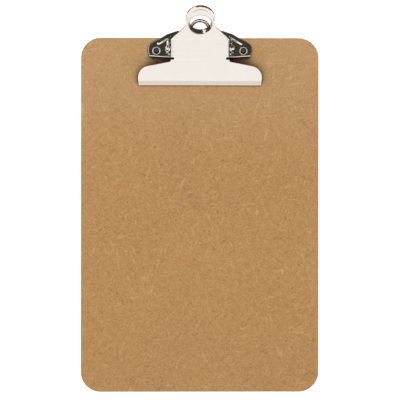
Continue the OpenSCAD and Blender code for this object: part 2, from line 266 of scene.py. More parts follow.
def formed_sheet(name, loops, placed, bend, thickness, edge_r, step):
    """A sheet with rounded edges, cut to the loops (outline first) and bent by the map."""
    loops = [np.array(resample(loop, step)) for loop in loops]
    insets = [inset(loop, edge_r, i > 0) for i, loop in enumerate(loops)]
    flat, triangles = fill([points for points, _ in insets], placed, PITCH, math.inf, MARGIN)

    def lift(points, depth):
        """Bent points, set depth below the face that the map gives."""
        e = 1e-3
        along_x = bend(points + [e, 0]) - bend(points - [e, 0])
        along_y = bend(points + [0, e]) - bend(points - [0, e])
        normal = np.cross(along_x, along_y)
        normal /= np.maximum(np.linalg.norm(normal, axis=1), 1e-12)[:, None]
        return bend(points) - normal * np.reshape(depth, (-1, 1))

    n = len(flat)
    verts = [lift(flat, 0), lift(flat, thickness)]
    faces = [tuple(t) for t in triangles] + [tuple(n + i for i in t[::-1]) for t in triangles]
    directed = {side for a, b, c in triangles for side in ((a, b), (b, c), (c, a))}
    count = 2 * n
    quarter = [math.pi / 2 * k / ROUND_STEPS for k in range(1, ROUND_STEPS + 1)]
    for loop, (inner, amount) in zip(loops, insets):
        ids = nearest(flat, inner)
        rings = [ids]
        levels = [(q, amount * (1 - math.cos(q))) for q in quarter]
        levels += [(q, thickness - depth) for q, depth in levels[::-1]]
        for q, depth in levels:
            verts.append(lift(inner + (loop - inner) * math.sin(q), depth))
            rings.append(list(range(count, count + len(ids))))
            count += len(ids)
        rings.append([n + i for i in ids])
        forward = sum(side in directed for side in zip(ids, ids[1:] + ids[:1]))
        faces += skin(rings, flip=forward > len(ids) / 2)
    obj = make(name, np.vstack(verts), faces)
    weight_normals(obj, 60).keep_sharp = True
    return obj


class Path:
    """Straights and bends in the YZ plane; s is the length along them.

    Each step is (length, 0) for a straight or (radius, turn in degrees) for a bend.
    """

    def __init__(self, steps, start, heading):
        self.segments, s = [], 0.0       # start s, end s, start point, heading, curvature
        p = np.array(start, float)
        for size, turn in steps:
            if turn == 0:
                self.segments.append((s, s + size, p.copy(), heading, 0.0))
                p = p + size * np.array([math.cos(heading), math.sin(heading)])
                s += size
            else:
                angle = math.radians(turn)
                k = math.copysign(1 / size, angle)
                self.segments.append((s, s + abs(angle) * size, p.copy(), heading, k))
                centre = p + np.array([-math.sin(heading), math.cos(heading)]) / k
                heading += angle
                p = centre + np.array([math.sin(heading), -math.cos(heading)]) / k
                s += abs(angle) * size
        self.length = s
        self.table_s = np.linspace(-2, s + 12, 6000)
        self.table_y = self.at(self.table_s)[0]

    def at(self, s):
        """y, z and heading at each s; the first and last steps run on beyond their ends."""
        s = np.asarray(s, float)
        y, z, heading = np.zeros_like(s), np.zeros_like(s), np.zeros_like(s)
        for i, (s0, s1, p, h, k) in enumerate(self.segments):
            m = np.ones_like(s, bool)
            if i:
                m &= s >= s0
            if i < len(self.segments) - 1:
                m &= s < s1
            d = s[m] - s0
            if k == 0:
                y[m], z[m], heading[m] = p[0] + d * math.cos(h), p[1] + d * math.sin(h), h
            else:
                q = h + d * k
                y[m] = p[0] - math.sin(h) / k + np.sin(q) / k
                z[m] = p[1] + math.cos(h) / k - np.cos(q) / k
                heading[m] = q
        return y, z, heading

    def s_of(self, y):
        return float(np.interp(y, self.table_y, self.table_s))


# ---------------------------------------------------------------- lever
# side profile, from the lip on the board up the jaw, along the neck and up the handle
LIP_DEG, JAW_DEG, HANDLE_DEG = 42, 29, 44
LIP, JAW, HANDLE = (math.radians(a) for a in (LIP_DEG, JAW_DEG, HANDLE_DEG))
LIP_L, LIP_BEND, JAW_BEND, HEEL_BEND = 3.9, 2.5, 6, 3.5
TIP = (-30.6, 0.05 + LEVER_T * math.cos(LIP))
HEEL_Y, HEEL_TO_EYE = -0.7, 10       # corner of neck and handle; the handle's hole beyond it
HANDLE_X = 9.0                       # half width of the parallel part
END_V = 5.86                         # centre of the round end, beyond the hole's centre

HEEL_RUN = HEEL_BEND * math.tan(HANDLE / 2)
JAW_L = (NECK_Z - TIP[1] - LIP_L * math.sin(LIP) - LIP_BEND * (math.cos(JAW) - math.cos(LIP))
         - JAW_BEND * (1 - math.cos(JAW))) / math.sin(JAW)
NECK_START = (TIP[0] + LIP_L * math.cos(LIP) + LIP_BEND * (math.sin(LIP) - math.sin(JAW))
              + JAW_L * math.cos(JAW) + JAW_BEND * math.sin(JAW))
lever_path = Path([(LIP_L, 0), (LIP_BEND, JAW_DEG - LIP_DEG), (JAW_L, 0), (JAW_BEND, -JAW_DEG),
                   (HEEL_Y - HEEL_RUN - NECK_START, 0), (HEEL_BEND, HANDLE_DEG),
                   (HEEL_TO_EYE + END_V + HANDLE_X - HEEL_RUN, 0)], TIP, LIP)
s_of = lever_path.s_of
EYE_S = lever_path.length - (END_V + HANDLE_X)       # the handle's hole
END_S = EYE_S + END_V                                # centre of the round end

# neck flanges
FLAT_X = NECK_X - NECK_R             # where the side bend starts
NECK_WRAP = NECK_R * math.pi / 2     # sheet taken up by the bend
FLANGE_R, FLANGE_HOLE_R = 4.0, 1.56

# collar of the handle's hole
EYE_R, COLLAR, FILLET = 7.3, 4.5, 1.0
COLLAR_R = EYE_R + FILLET            # where the sheet starts to turn down
EYE_CUT_R = COLLAR_R - (FILLET * math.pi / 2 + COLLAR - FILLET)      # hole in the flat sheet

# rolled rim of the handle
ROLL = 1.4                           # radius of the roll
RIM_X = HANDLE_X - ROLL              # where the rim starts
RIM_SHEET = 3.9                      # sheet taken up by the full roll
WAIST, WAIST_R = (HANDLE_X + 6.5, 9.1), 6.5  # concave sweep between shoulder and handle


def swell(v):
    """How much wider than its parallel part the handle is, v beyond the hole's centre."""
    y = HEEL_Y + (HEEL_TO_EYE + np.asarray(v, float)) * math.cos(HANDLE)
    d = np.maximum(WAIST[1] - y, 0)
    return WAIST[0] - np.sqrt(WAIST_R ** 2 - np.minimum(d, 4) ** 2) - HANDLE_X


def rim_growth(v):
    """Sheet in the rim beyond a plain ROLL's width."""
    return (RIM_SHEET - ROLL) * rise(v, 1.3, 1.8)


def turn_collar(x, v):
    """Turns the sheet down round the handle's hole; returns x, v and depth."""
    d = np.hypot(x, v)
    used = np.maximum(COLLAR_R - d, 0)
    angle = np.minimum(used / FILLET, math.pi / 2)
    wall = np.maximum(used - FILLET * math.pi / 2, 0)
    radius = COLLAR_R - FILLET * np.sin(angle) - 0.15 * wall     # the wall tapers
    scale = np.where(d < COLLAR_R, radius / np.maximum(d, 1e-6), 1)
    # slight swell of the sheet round the heel side of the hole
    ring = 0.09 * np.exp(-((d - 9.3) / 0.8) ** 2) * rise(-v, 2.5, 4)
    return x * scale, v * scale, FILLET * (1 - np.cos(angle)) + wall - ring


def roll_rim(x, v):
    """Dishes the handle's end and rolls its rim under; returns x, v and depth."""
    beyond = v - END_V
    at_end = beyond > 0
    e = np.where(at_end, np.hypot(x, beyond), np.abs(x))     # distance out from the middle
    start = RIM_X + np.where(at_end, 0, swell(v))
    part = np.clip((e - start) / (ROLL + rim_growth(v)), 0, 1)
    full_angle = math.pi * 1.02 * rise(v, 1.6, END_V - 0.9 - 1.6)
    radius = ROLL / np.sin(np.clip(full_angle, 1e-3, math.pi / 2))
    unrolled = full_angle < 2e-3
    reach = np.where(unrolled, start + ROLL * part, start + radius * np.sin(part * full_angle))
    drop = np.where(unrolled, 0, radius * (1 - np.cos(part * full_angle)))
    handle = v > 0.9
    in_roll = handle & (e > start)
    scale = np.where(in_roll, reach / np.maximum(e, 1e-6), 1)
    hollow = 0.05 * rise(e, 3.4, 2.0) * (1 - rise(e, 6.1, 1.2))
    raised = 0.12 * rise(e, 6.2, 1.0)
    dish = np.where(handle, rise(v, 2.0, 5) * (hollow - raised), 0)
    v = np.where(at_end, END_V + beyond * scale, v)
    return x * scale, v, np.where(in_roll, drop, 0) + dish


def fold_flanges(x, y):
    """Folds the neck's sides down, less and less towards the heel; returns x and depth."""
    side = (np.abs(x) > FLAT_X) & (y > -13.3) & (y < -0.9)
    used = np.where(side, np.abs(x) - FLAT_X, 0)
    full_angle = math.pi / 2 * (1 - rise(y, -2.9, 1.9))
    angle = np.minimum(used / NECK_R, full_angle)
    rest = np.maximum(used - NECK_R * full_angle, 0)
    folded_x = FLAT_X + NECK_R * np.sin(angle) + rest * np.cos(full_angle)
    depth = NECK_R * (1 - np.cos(angle)) + rest * np.sin(full_angle)
    return np.where(side, np.sign(x) * folded_x, x), np.where(side, depth, 0)


def lever_map(flat):
    """Flat points (x, s along the path) to the clip frame."""
    x, s = flat[:, 0], flat[:, 1]
    path_y = lever_path.at(s)[0]
    x, v, collar_depth = turn_collar(x, s - EYE_S)
    x, v, rim_depth = roll_rim(x, v)
    x, flange_depth = fold_flanges(x, path_y)
    depth = collar_depth + rim_depth + flange_depth
    y, z, heading = lever_path.at(v + EYE_S)
    return np.stack([x, y + np.sin(heading) * depth, z - np.cos(heading) * depth], 1)


def on_flange(y, z):
    """The flat place of a point on the +x flange."""
    return (FLAT_X + NECK_WRAP + (NECK_Z - NECK_R - z), s_of(y))


def lever_outline():
    tip_s = s_of(TIP[0])
    half = [(38.7, tip_s), (39.15, tip_s + 0.12), (39.36, tip_s + 0.6)]
    jaw_tip, jaw_back, neck = (39.4, TIP[0]), (39.95, -20.0), (NECK_X, -15.9)
    jaw = corner(jaw_tip, jaw_back, neck, 7.5, 18)
    jaw += corner(jaw_back, neck, (NECK_X, -14.6), 0.5, 5)
    jaw += [(NECK_X, -14.75), (18.5, -14.6)]
    jaw += arc((17.2, -13.9), 0.7, 270, 90, 12)      # notch in front of the flange
    half += [(x, s_of(y)) for x, y in jaw]

    front, back = (-13.2, NECK_Z - 2.6), (-2.9, NECK_Z - 1.9)
    start = touch_angle(front, PIVOT, FLANGE_R, 1)
    end = touch_angle(back, PIVOT, FLANGE_R, -1)
    lobe = arc(PIVOT, FLANGE_R, start, end, 24)
    flange = [(front[0], NECK_Z - NECK_R - 0.2), front] + lobe + [back]
    half += [on_flange(y, z) for y, z in flange]

    shoulder = [(19.5, -2.45), (18.9, -2.0), (18.3, -1.55), (17.6, -1.1)]
    half += [(x, s_of(y)) for x, y in shoulder]
    start = touch_angle((17.4, -1.0), WAIST, WAIST_R, -1)
    sweep = [(x, s_of(y)) for x, y in arc(WAIST, WAIST_R, start, 180, 24)]
    half += [(x, s) for x, s in sweep if s < EYE_S + 1.1]
    half += [(RIM_X + swell(v) + ROLL + rim_growth(v), EYE_S + v)
             for v in np.linspace(1.3, END_V, 14)]
    half += arc((0, END_S), RIM_X + RIM_SHEET, 0, 90, 26)[1:-1]
    return mirrored(half, END_S + RIM_X + RIM_SHEET)


def lever_points():
    """Mesh points placed where the sheet bends."""
    points = []
    # collar: its fillet, its wall, and the sheet round it
    radii = list(COLLAR_R - FILLET * np.radians([0, 18, 36, 54, 72, 90]))
    radii += [COLLAR_R + d for d in (-2.2, -3.4, 0.25, 0.6, 1.0, 1.5)]
    for r in radii:
        n = 120 if r > 6 else 72
        points += [(r * math.cos(2 * math.pi * k / n), EYE_S + r * math.sin(2 * math.pi * k / n))
                   for k in range(n)]
    # rolled rim
    for part in np.linspace(0, 0.94, 18):
        points += arc((0, END_S), RIM_X + RIM_SHEET * part, 0, 180, 90)
        for v in np.arange(1.5, END_V, 0.33):
            points += pair(RIM_X + swell(v) + (ROLL + rim_growth(v)) * part, EYE_S + v)
    # dish
    for r in np.arange(3.8, RIM_X, 0.42):
        points += arc((0, END_S), r, 0, 180, int(r * 7))
    # neck side bends
    columns = list(FLAT_X + np.linspace(0, NECK_WRAP, 8))
    for x in columns + [FLAT_X - 0.5, FLAT_X + NECK_WRAP + 0.4]:
        for s in np.arange(s_of(-13.0), s_of(-1.2), 0.45):
            points += pair(x, s)
    # heel bend
    heel_s = s_of(HEEL_Y - HEEL_RUN)
    for s in np.linspace(heel_s - 0.3, heel_s + HEEL_BEND * HANDLE + 0.2, 8):
        points += [(x, s) for x in np.arange(-17, 17.1, 0.55)]
    # lip
    for s in list(np.linspace(LIP_L - 0.2, LIP_L + 0.8, 4)) + [0.35, 0.8]:
        points += [(x, s) for x in np.arange(-38.6, 38.7, 0.7)]
    return points


def build_lever():
    pin_x, pin_s = on_flange(*PIVOT)
    loops = [lever_outline(), circle((0, EYE_S), EYE_CUT_R, 72)]
    loops += [circle((side * pin_x, pin_s), FLANGE_HOLE_R, 28) for side in (1, -1)]
    return formed_sheet("clamp_lever_formed", loops, lever_points(), lever_map,
                        thickness=LEVER_T, edge_r=0.17, step=0.5)


# ---------------------------------------------------------------- base plate
# upturned stop along the front, bowed in plan
STOP_Y, STOP_X, STOP_TOP, STOP_BOW = -13.3, 32.4, 3.0, 364.0
STOP_BEND = 0.3
STOP_WRAP = STOP_BEND * math.pi / 2

# ears folded up out of their openings
EAR_BEND = 1.3
EAR_WRAP = EAR_BEND * math.pi / 2
FOLD_X = EAR_OUT + EAR_BEND
EAR_FRONT, EAR_BACK = PIVOT_Y - 2.7, PIVOT_Y + 5.4
EAR_R, EAR_HOLE_R = 3.2, 1.52
OPENING_X = 11.2                     # inner side of each opening

# corners from the stop's end to the tongue; the holed tongue at the back
SHOULDER = [(33.0, -4.9), (21.0, 2.4), (14.2, 4.6), (11.4, 3.6)]
TONGUE_Y, TONGUE_R, TONGUE_HOLE_R, TONGUE_FILLET = 5.25, 6.9, 4.7, 2.0

# raised beads beside the shoulders
BEAD_START, BEAD_L, BEAD_R, BEAD_H = np.array([26.5, -3.5]), 8.2, 1.12, 0.40
BEAD_DIR = np.array([math.cos(math.radians(149)), math.sin(math.radians(149))])


def bend_line(x):
    """The y at which the flat sheet ends and the stop turns up."""
    bow = np.asarray(x, float) ** 2
    return STOP_Y + STOP_BOW - np.sqrt(STOP_BOW * STOP_BOW - bow) + BASE_T + STOP_BEND


def base_map(flat):
    """Flat points (x, y) to the clip frame."""
    x, y = flat[:, 0], flat[:, 1]
    side_x = np.abs(x)
    # stop
    line = bend_line(x)
    in_stop = (y < line) & (side_x < STOP_X + 0.05)
    used = np.where(in_stop, line - y, 0)
    angle = np.minimum(used / STOP_BEND, math.pi / 2)
    rest = np.maximum(used - STOP_WRAP, 0)
    z = BASE_T + STOP_BEND * (1 - np.cos(angle)) + rest
    flare = 0.085 * rest * rest
    y = np.where(in_stop, line - STOP_BEND * np.sin(angle) - flare, y)
    # ears; the lobe reaches further forward than the ear's root
    front = EAR_FRONT - np.interp(side_x, [17.8, 18.3, 18.9, 19.46], [0.65, 0.5, 0.19, 0.05])
    ear = (side_x < FOLD_X) & (side_x > 12) & (flat[:, 1] > front) & (flat[:, 1] < EAR_BACK + 0.05)
    used = np.where(ear, FOLD_X - side_x, 0)
    angle = np.minimum(used / EAR_BEND, math.pi / 2)
    height = EAR_BEND * (1 - np.cos(angle)) + np.maximum(used - EAR_WRAP, 0)
    z = np.where(ear, BASE_T + height, z)
    x = np.where(ear, np.sign(x) * (FOLD_X - EAR_BEND * np.sin(angle)), x)
    # beads
    from_start = np.stack([side_x, flat[:, 1]], 1) - BEAD_START
    part = np.clip(from_start @ (BEAD_DIR * BEAD_L) / BEAD_L ** 2, 0, 1)
    d = np.linalg.norm(from_start - part[:, None] * (BEAD_DIR * BEAD_L), axis=1)
    z = z + BEAD_H * (1 - rise(d, 0, BEAD_R)) * (1 - ear)
    return np.stack([x, y, z], 1)


def on_ear(y, z):
    """The flat place of a point on the +x ear."""
    return (FOLD_X - EAR_WRAP - (z - BASE_T - EAR_BEND), y)


def base_outline():
    fold = STOP_WRAP + STOP_TOP - BASE_T - STOP_BEND
    half = [(x, bend_line(x) - fold) for x in np.linspace(2, STOP_X - 0.6, 16)]
    line = bend_line(STOP_X)
    stop_foot = (STOP_X + 0.2, line + 0.08)
    half += [(STOP_X - 0.15, line - fold + 0.14), (STOP_X, line - fold + 0.6),
             (STOP_X, line + 0.05), stop_foot]
    side, outer, inner, notch = SHOULDER
    half += corner(stop_foot, (side[0], line + 0.1), side, 0.35, 4)
    half += corner((side[0], line), side, outer, 3, 8)
    half += corner(side, outer, inner, 8, 6)
    half += corner(outer, inner, notch, 1.2, 8)
    centre_y = notch[1] + TONGUE_FILLET
    centre_x = math.sqrt((TONGUE_R + TONGUE_FILLET) ** 2 - (centre_y - TONGUE_Y) ** 2)
    half += corner(inner, notch, (centre_x, notch[1]), 0.8, 4)
    meet = math.degrees(math.atan2(TONGUE_Y - centre_y, -centre_x)) % 360
    half += arc((centre_x, centre_y), TONGUE_FILLET, 270, meet, 10)
    start = math.degrees(math.atan2(centre_y - TONGUE_Y, centre_x))
    half += arc((0, TONGUE_Y), TONGUE_R, start, 90, 26)[1:-1]
    return mirrored(half, TONGUE_Y + TONGUE_R)


def ear_opening():
    """Outline of the +x opening, which runs round the flat ear inside it."""
    front, back = (EAR_FRONT, BASE_T + EAR_BEND), (EAR_BACK, BASE_T + EAR_BEND)
    start, end = touch_angle(back, PIVOT, EAR_R, 1), touch_angle(front, PIVOT, EAR_R, -1)
    ear = [back] + arc(PIVOT, EAR_R, start, end, 22) + [front]
    opening = [(FOLD_X, EAR_FRONT), (FOLD_X + 0.05, EAR_FRONT - 0.1), (19.46, EAR_FRONT - 0.1),
               (18.9, EAR_FRONT - 0.3), (18.3, EAR_FRONT - 0.8), (OPENING_X, EAR_FRONT - 0.8),
               (OPENING_X, EAR_BACK + 0.1), (FOLD_X + 0.05, EAR_BACK + 0.1), (FOLD_X, EAR_BACK)]
    return opening + [on_ear(y, z) for y, z in ear]


def base_points():
    """Mesh points placed where the sheet bends."""
    points = []
    # stop
    drops = [STOP_WRAP + rest for rest in (0.35, 0.7, 1.05, 1.35)]
    for drop in list(np.linspace(0, STOP_WRAP, 5)) + drops:
        points += [(x, bend_line(x) - drop) for x in np.arange(-32.0, 32.1, 0.5)]
    # ear bends
    for x in FOLD_X - np.linspace(0, EAR_WRAP, 8):
        for y in np.arange(EAR_FRONT + 0.3, EAR_BACK - 0.2, 0.5):
            points += pair(x, y)
    # beads: lines along both flanks, then round both ends
    across = np.array([-BEAD_DIR[1], BEAD_DIR[0]])
    ends = ((BEAD_START, -1), (BEAD_START + BEAD_L * BEAD_DIR, 1))
    for r in (0, 0.18, 0.36, 0.55, 0.74, 0.92, BEAD_R):
        for along in np.arange(0, BEAD_L + 0.01, 0.3):
            for flank in (1, -1):
                points += pair(*(BEAD_START + BEAD_DIR * along + across * r * flank))
        if r:
            for t in np.radians(np.arange(0, 181, 20)):
                for end, way in ends:
                    offset = across * math.cos(t) + BEAD_DIR * way * math.sin(t)
                    points += pair(*(end + r * offset))
    return points


def build_base():
    loops = [base_outline(), circle((0, TONGUE_Y), TONGUE_HOLE_R, 64)]
    pin_x, pin_y = on_ear(*PIVOT)
    for side in (1, -1):
        loops.append([(side * x, y) for x, y in ear_opening()])
        loops.append(circle((side * pin_x, pin_y), EAR_HOLE_R, 28))
        loops.append(circle((side * RIVET_X, RIVET_Y), RIVET_HOLE_R, 40))
    return formed_sheet("base_plate_formed", loops, base_points(), base_map,
                        thickness=BASE_T, edge_r=0.30, step=0.45)


# ---------------------------------------------------------------- board
EDGE_R = 0.45                        # radius of the board's broken edges
EDGE_STEP = 3.0                      # spacing of points along the edge


def corner_frame(x, y):
    """The nearest point of the rectangle through the corner centres, and its distance."""
    half_w, half_l = BOARD_W / 2 - CORNER_R, BOARD_L / 2 - CORNER_R
    cx, cy = max(-half_w, min(half_w, x)), max(-half_l, min(half_l, y))
    return cx, cy, math.hypot(x - cx, y - cy)


def board_edge():
    """The board's outline moved in by the edge radius."""
    outline = []
    for cx, cy, start in ((1, 1, 0), (-1, 1, 90), (-1, -1, 180), (1, -1, 270)):
        centre = (cx * (BOARD_W / 2 - CORNER_R), cy * (BOARD_L / 2 - CORNER_R))
        outline += arc(centre, CORNER_R, start, start + 90, 20)
    moved = []
    for x, y in resample(outline, EDGE_STEP):
        cx, cy, d = corner_frame(x, y)
        moved.append((x - (x - cx) / d * EDGE_R, y - (y - cy) / d * EDGE_R))
    return moved


def build_board():
    """Pressed panel: flat faces, softly broken edges, rivet holes with pockets behind."""
    edge = board_edge()
    centres = [(side * RIVET_X, TOP_Y + RIVET_Y) for side in (1, -1)]
    verts, faces = [], []

    def add_face(z, hole_r, flip):
        """Adds a flat face; returns the vertex numbers of its edge and of its holes."""
        first = len(verts)
        holes = [circle(c, hole_r, HOLE_SIDES) for c in centres]
        v, f = fill([edge] + holes, [], pitch=7.0, step=EDGE_STEP, margin=1.0)
        verts.extend((x, y, z) for x, y in v)
        faces.extend([tuple(first + i for i in (t[::-1] if flip else t)) for t in f])
        return [[first + i for i in nearest(v, loop)]
                for loop in [resample(edge, EDGE_STEP)] + holes]

    def add_ring(points):
        verts.extend(points)
        return list(range(len(verts) - len(points), len(verts)))

    top_edge, *top_holes = add_face(BOARD_T, RIVET_HOLE_R, False)
    back_edge, *back_holes = add_face(0.0, POCKET_R, True)

    # side wall, as (distance in from the outline, z) from the top down
    turn = [math.radians(q) for q in (22, 45, 68, 90)]
    bevel = [(EDGE_R * (1 - math.sin(q)), EDGE_R * (1 - math.cos(q))) for q in turn]
    wall = [(d, BOARD_T - drop) for d, drop in bevel]
    wall += [(0.0, BOARD_T * 0.62), (0.0, BOARD_T * 0.36)] + bevel[::-1]
    rings = [top_edge]
    for d, z in wall:
        ring = []
        for x, y in resample(edge, EDGE_STEP):
            cx, cy, reach = corner_frame(x, y)
            wobble = 0.0
            if d < 1e-9:         # the outermost rings are slightly uneven
                wobble = 0.035 * math.sin(x * 1.7 + y * 2.3) * math.sin(x * 0.61 - y * 1.13)
            scale = (CORNER_R - d - abs(wobble)) / reach
            ring.append((cx + (x - cx) * scale, cy + (y - cy) * scale, z))
        rings.append(add_ring(ring))
    rings.append(back_edge)
    for a, b in zip(rings, rings[1:]):
        faces.extend(zip(a, b, b[1:] + b[:1], a[1:] + a[:1]))

    for centre, top, back in zip(centres, top_holes, back_holes):
        steps = [add_ring([(x, y, POCKET_D) for x, y in circle(centre, r, HOLE_SIDES)])
                 for r in (RIVET_HOLE_R, POCKET_R)]
        faces.extend(skin([top] + steps + [back]))
    obj = make("board_panel", verts, faces, at=(0, 0, 0))
    weight_normals(obj, 100)
    return obj


# ---------------------------------------------------------------- turned parts and wire
def lathe(name, profile, at, axis, sides):
    """Turns a profile [(radius, height)], 0 radius at both ends, round an axis through at."""
    verts, rings = [], []
    for r, h in profile:
        first = len(verts)
        if r < 1e-6:
            rings.append([first] * sides)
            verts.append((0, 0, h))
        else:
            rings.append(list(range(first, first + sides)))
            verts += [(x, y, h) for x, y in circle((0, 0), r, sides)]
    v = np.array(verts, float)
    if axis == "X":
        v = v[:, [2, 0, 1]]
    return make(name, v + np.array(at), skin(rings))


def build_pin():
    """Pivot pin across the clip, with a domed head outside each ear."""
    head_r, head_h, dome_h = 1.95, 2.0, 1.25
    quarter = [math.radians(90 * k / 10) for k in range(1, 11)]
    head = [(0.0, head_h)]               # (radius, height above the ear)
    head += [(head_r * math.sin(q), head_h - dome_h + dome_h * math.cos(q)) for q in quarter]
    head += [(head_r, 0.12), (head_r - 0.12, 0), (PIN_R + 0.05, 0), (PIN_R, -0.05)]
    profile = [(r, -EAR_OUT - h) for r, h in head]
    profile += [(PIN_R, x) for x in (-15, -8, 0, 8, 15)]
    profile += [(r, EAR_OUT + h) for r, h in head[::-1]]
    return lathe("pivot_pin_headed", profile, (0, PIVOT_Y, PIVOT_Z), "X", 48)


def build_rivet(name, x):
    """Upper end rolled over the base plate round a blind bore; flat head in the pocket."""
    bore_r, shank_r, roll_r = 1.75, 2.25, 0.35
    seat = POCKET_D - BOARD_T            # roof of the pocket
    profile = [
        # head
        (0.0, seat - 0.8), (1.4, seat - 0.79), (2.55, seat - 0.76), (2.78, seat - 0.66),
        (2.85, seat - 0.45), (2.85, seat - 0.1), (2.80, seat), (shank_r + 0.05, seat),
        # shank
        (shank_r, seat + 0.05), (shank_r, -1.0), (shank_r, 0.5), (shank_r, BASE_T - 0.02),
        (shank_r + 0.03, BASE_T), (shank_r + roll_r - 0.06, BASE_T)]
    profile += arc((shank_r, BASE_T), roll_r, 6, 180, 12)
    # bore
    profile += [(bore_r + 0.02, BASE_T - 0.08), (bore_r, BASE_T - 0.3), (bore_r, -0.2),
                (bore_r, -0.9), (bore_r - 0.08, -1.15), (bore_r - 0.3, -1.25), (0.9, -1.28),
                (0.0, -1.26)]
    return lathe(name, profile, (x, RIVET_Y, 0), "Z", 56)


def build_spring():
    """Torsion spring round the pin: a leg on the base plate, the coil, a leg to the lever."""
    wire_r, coil_r, turns, sides = 0.6, 2.45, 9.5, 14
    base_leg, lever_leg = 8.2, 6.3
    pitch = 2 * wire_r + 0.16
    start_x = -pitch * turns / 2
    leg_angle = math.asin((PIVOT_Z - coil_r - BASE_T - wire_r - 0.05) / base_leg)
    t0, t1 = math.degrees(leg_angle) / 360, turns - 4 / 360      # the coil's ends, in turns

    def point(t):
        q = 2 * math.pi * t
        return np.array([start_x + pitch * t, -coil_r * math.sin(q), -coil_r * math.cos(q)])

    def direction(t):
        q = 2 * math.pi * t
        return np.array([0, -math.cos(q), math.sin(q)])

    n = int((t1 - t0) * 40)
    path = [point(t0) - direction(t0) * base_leg * k / 8 for k in range(8, 0, -1)]
    path += [point(t0 + (t1 - t0) * k / n) for k in range(n + 1)]
    path += [point(t1) + direction(t1) * lever_leg * k / 7 for k in range(1, 8)]
    path = np.array(path)

    verts, rings = [], []
    heading = np.gradient(path, axis=0)
    heading /= np.linalg.norm(heading, axis=1)[:, None]
    for p, d in zip(path, heading):
        u = np.cross(d, [1, 0, 0])
        u /= np.linalg.norm(u)
        w = np.cross(d, u)
        rings.append(list(range(len(verts), len(verts) + sides)))
        verts += [p + wire_r * (u * a + w * b) for a, b in circle((0, 0), 1, sides)]
    faces = skin(rings)
    # flat ends, each a border ring round a fan
    for i in (0, -1):
        first = len(verts)
        verts += [path[i] + (verts[k] - path[i]) * 0.86 for k in rings[i]]
        verts.append(path[i])
        inner = list(range(first, first + sides))
        faces += skin([rings[i], inner, [first + sides] * sides], flip=i == 0)
    return make("torsion_spring_wound", np.array(verts) + np.array([0, *PIVOT]), faces)


# ---------------------------------------------------------------- shaders
class Shader:
    """Builds a node tree for a material or world. A value may be a number, tuple or socket."""

    def __init__(self, owner, output, surface, coord):
        owner.use_nodes = True
        self.owner, self.tree = owner, owner.node_tree
        self.tree.nodes.clear()
        out = self.add(output)
        self.surface = self.add(surface)
        self.feed(out.inputs[0], self.surface.outputs[0])
        self.coord = self.add("ShaderNodeTexCoord").outputs[coord]

    def feed(self, socket, value):
        if isinstance(value, bpy.types.NodeSocket):
            self.tree.links.new(value, socket)
        elif isinstance(value, tuple) and socket.type == "RGBA":
            socket.default_value = (*value, 1)
        else:
            socket.default_value = value

    def add(self, kind, inputs=None, **settings):
        node = self.tree.nodes.new(kind)
        for key, value in settings.items():
            setattr(node, key, value)
        for key, value in (inputs or {}).items():
            self.feed(node.inputs[key], value)
        return node

    def mapping(self, stretch=(1, 1, 1), turn=(0, 0, 0), source=None):
        return self.add("ShaderNodeMapping", {
            "Scale": stretch, "Rotation": turn, "Vector": source or self.coord}).outputs[0]

    def noise(self, scale, detail, rough, distort=0.0, **mapping):
        return self.add("ShaderNodeTexNoise", {
            "Vector": self.mapping(**mapping), "Scale": scale, "Detail": detail,
            "Roughness": rough, "Distortion": distort}).outputs["Fac"]

    def ramp(self, value, over, to=(0.0, 1.0)):
        """A smooth step of value over one range to another."""
        return self.add("ShaderNodeMapRange", dict(enumerate((value, *over, *to))),
                        interpolation_type="SMOOTHSTEP").outputs[0]

    def math(self, operation, *values):
        return self.add("ShaderNodeMath", dict(enumerate(values)), operation=operation).outputs[0]

    def mix(self, amount, under, over):
        return self.add("ShaderNodeMix", {0: amount, 6: under, 7: over},
                        data_type="RGBA").outputs[2]

    def split(self, vector):
        """The x, y and z of a vector."""
        return self.add("ShaderNodeSeparateXYZ", {0: vector}).outputs

    def bump(self, height, strength, distance_mm):
        node = self.add("ShaderNodeBump", {
            "Strength": strength, "Distance": distance_mm * 0.001, "Height": height})
        self.set(Normal=node.outputs[0])

    def set(self, **values):
        for key, value in values.items():
            self.feed(self.surface.inputs[key.replace("_", " ")], value)


def material(name):
    return Shader(bpy.data.materials.new(name), "ShaderNodeOutputMaterial",
                  "ShaderNodeBsdfPrincipled", "Object")


